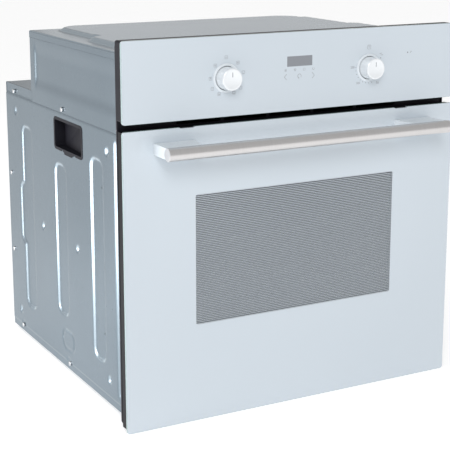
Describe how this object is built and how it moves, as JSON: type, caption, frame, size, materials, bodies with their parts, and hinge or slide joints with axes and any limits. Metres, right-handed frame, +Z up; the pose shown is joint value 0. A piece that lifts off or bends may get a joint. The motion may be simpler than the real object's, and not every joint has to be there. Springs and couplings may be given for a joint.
{
  "type": "wall oven",
  "caption": "Built-in single wall oven with a white glass drop-down door, bar handle, control panel with knobs and clock display, and a bare steel casing.",
  "frame": {"origin": "on the shelf plane that the casing stands on, in the cabinet's front plane, at mid width", "axes": "+X to the oven's right as seen from the front, +Y into the cabinet, +Z up"},
  "size_m": [0.595, 0.625, 0.595],
  "materials": {
    "galvanised": "galvanised sheet steel, satin",
    "black_enamel_frame": "black enamelled steel, satin",
    "cavity_enamel": "speckled dark enamel, gloss",
    "glass_wool": "pressed glass wool",
    "black_plastic": "black moulded plastic",
    "white_glass": "tempered glass, white enamel behind",
    "clear_glass": "clear tempered glass",
    "display_grey": "smoked display window",
    "circuit_board": "green circuit board",
    "indicator_lens": "small red lens",
    "white_knob": "white moulded plastic, satin gloss",
    "white_bracket": "white painted cast bracket",
    "handle_steel": "brushed stainless tube",
    "plated_steel": "bright plated steel",
    "chromed_wire": "chromed steel wire",
    "heater_sheath": "dark heater sheath",
    "fan_steel": "steel sheet",
    "motor_iron": "motor laminations",
    "gasket_rubber": "black braided seal",
    "ceramic": "cream ceramic"
  },
  "bodies": {
    "oven_body": {"air_duct": "galvanised", "base_panel": "galvanised", "blower_housing": "galvanised", "blower_motor": "motor_iron", "bottom_element": "heater_sheath", "carry_handles": "black_plastic", "cavity_liner": "cavity_enamel", "control_panel_carrier": "black_plastic", "control_panel_glass": "white_glass", "convection_motor": "motor_iron", "display_module": "display_grey", "door_gasket": "gasket_rubber", "fan_cover": "cavity_enamel", "front_frame": "black_enamel_frame", "function_switch": "black_plastic", "grill_element": "heater_sheath", "hinge_arms": "galvanised", "hinge_receivers": "galvanised", "indicator_lamp": "indicator_lens", "insulation_wrap": "glass_wool", "knob_collars": "white_knob", "lamp_bulb": "clear_glass", "lamp_cover": "clear_glass", "lamp_socket": "ceramic", "left_shelf_rail": "chromed_wire", "left_side_panel": "galvanised", "left_upper_side": "galvanised", "rear_panel": "galvanised", "right_shelf_rail": "chromed_wire", "right_side_panel": "galvanised", "right_upper_side": "galvanised", "ring_element": "heater_sheath", "side_screws": "plated_steel", "terminal_block": "ceramic", "terminal_cover": "black_plastic", "thermostat": "plated_steel", "thermostat_probe": "plated_steel", "timer_board": "circuit_board", "top_cover": "galvanised", "upper_deck": "galvanised", "upper_rear_panel": "galvanised"},
    "door": {"door_outer_glass": "white_glass", "door_inner_glass": "clear_glass", "left_door_channel": "black_enamel_frame", "right_door_channel": "black_enamel_frame", "door_top_trim": "black_enamel_frame", "door_bottom_trim": "black_enamel_frame", "left_door_hinge": "galvanised", "right_door_hinge": "galvanised", "hinge_springs": "plated_steel", "handle_bar": "handle_steel", "handle_brackets": "white_bracket", "handle_screws": "plated_steel"},
    "function_shaft": {"function_spindle": "plated_steel"},
    "function_cap": {"function_knob": "white_knob"},
    "temperature_shaft": {"temperature_spindle": "plated_steel"},
    "temperature_cap": {"temperature_knob": "white_knob"},
    "cooling_rotor": {"blower_rotor": "fan_steel"},
    "convection_rotor": {"convection_fan": "fan_steel"},
    "shelf": {"wire_shelf": "chromed_wire"}
  },
  "joints": [
    {"name": "door_hinge", "type": "hinge", "parent": "oven_body", "child": "door", "pos_m": [0, -0.017, 0.006], "axis": [1, 0, 0], "range_deg": [0, 90], "stiffness_Nm_per_rad": 3, "springref_deg": -34.38},
    {"name": "function_turn", "type": "hinge", "parent": "oven_body", "child": "function_shaft", "pos_m": [-0.128, -0.02, 0.525], "axis": [0, 1, 0], "continuous": true},
    {"name": "function_push", "type": "slide", "parent": "function_shaft", "child": "function_cap", "axis": [0, 1, 0], "range_m": [0, 0.017]},
    {"name": "temperature_turn", "type": "hinge", "parent": "oven_body", "child": "temperature_shaft", "pos_m": [0.128, -0.02, 0.525], "axis": [0, 1, 0], "range_deg": [0, 270]},
    {"name": "temperature_push", "type": "slide", "parent": "temperature_shaft", "child": "temperature_cap", "axis": [0, 1, 0], "range_m": [0, 0.017]},
    {"name": "cooling_fan_spin", "type": "hinge", "parent": "oven_body", "child": "cooling_rotor", "pos_m": [0, 0.29, 0.482], "axis": [1, 0, 0], "continuous": true},
    {"name": "convection_fan_spin", "type": "hinge", "parent": "oven_body", "child": "convection_rotor", "pos_m": [0, 0.39, 0.24], "axis": [0, 1, 0], "continuous": true},
    {"name": "shelf_slide", "type": "slide", "parent": "oven_body", "child": "shelf", "axis": [0, -1, 0], "range_m": [0, 0.24]}
  ],
  "couplings": [
    {"joint": "shelf_slide", "follows": "door_hinge", "m_per_rad": 0.15}
  ]
}
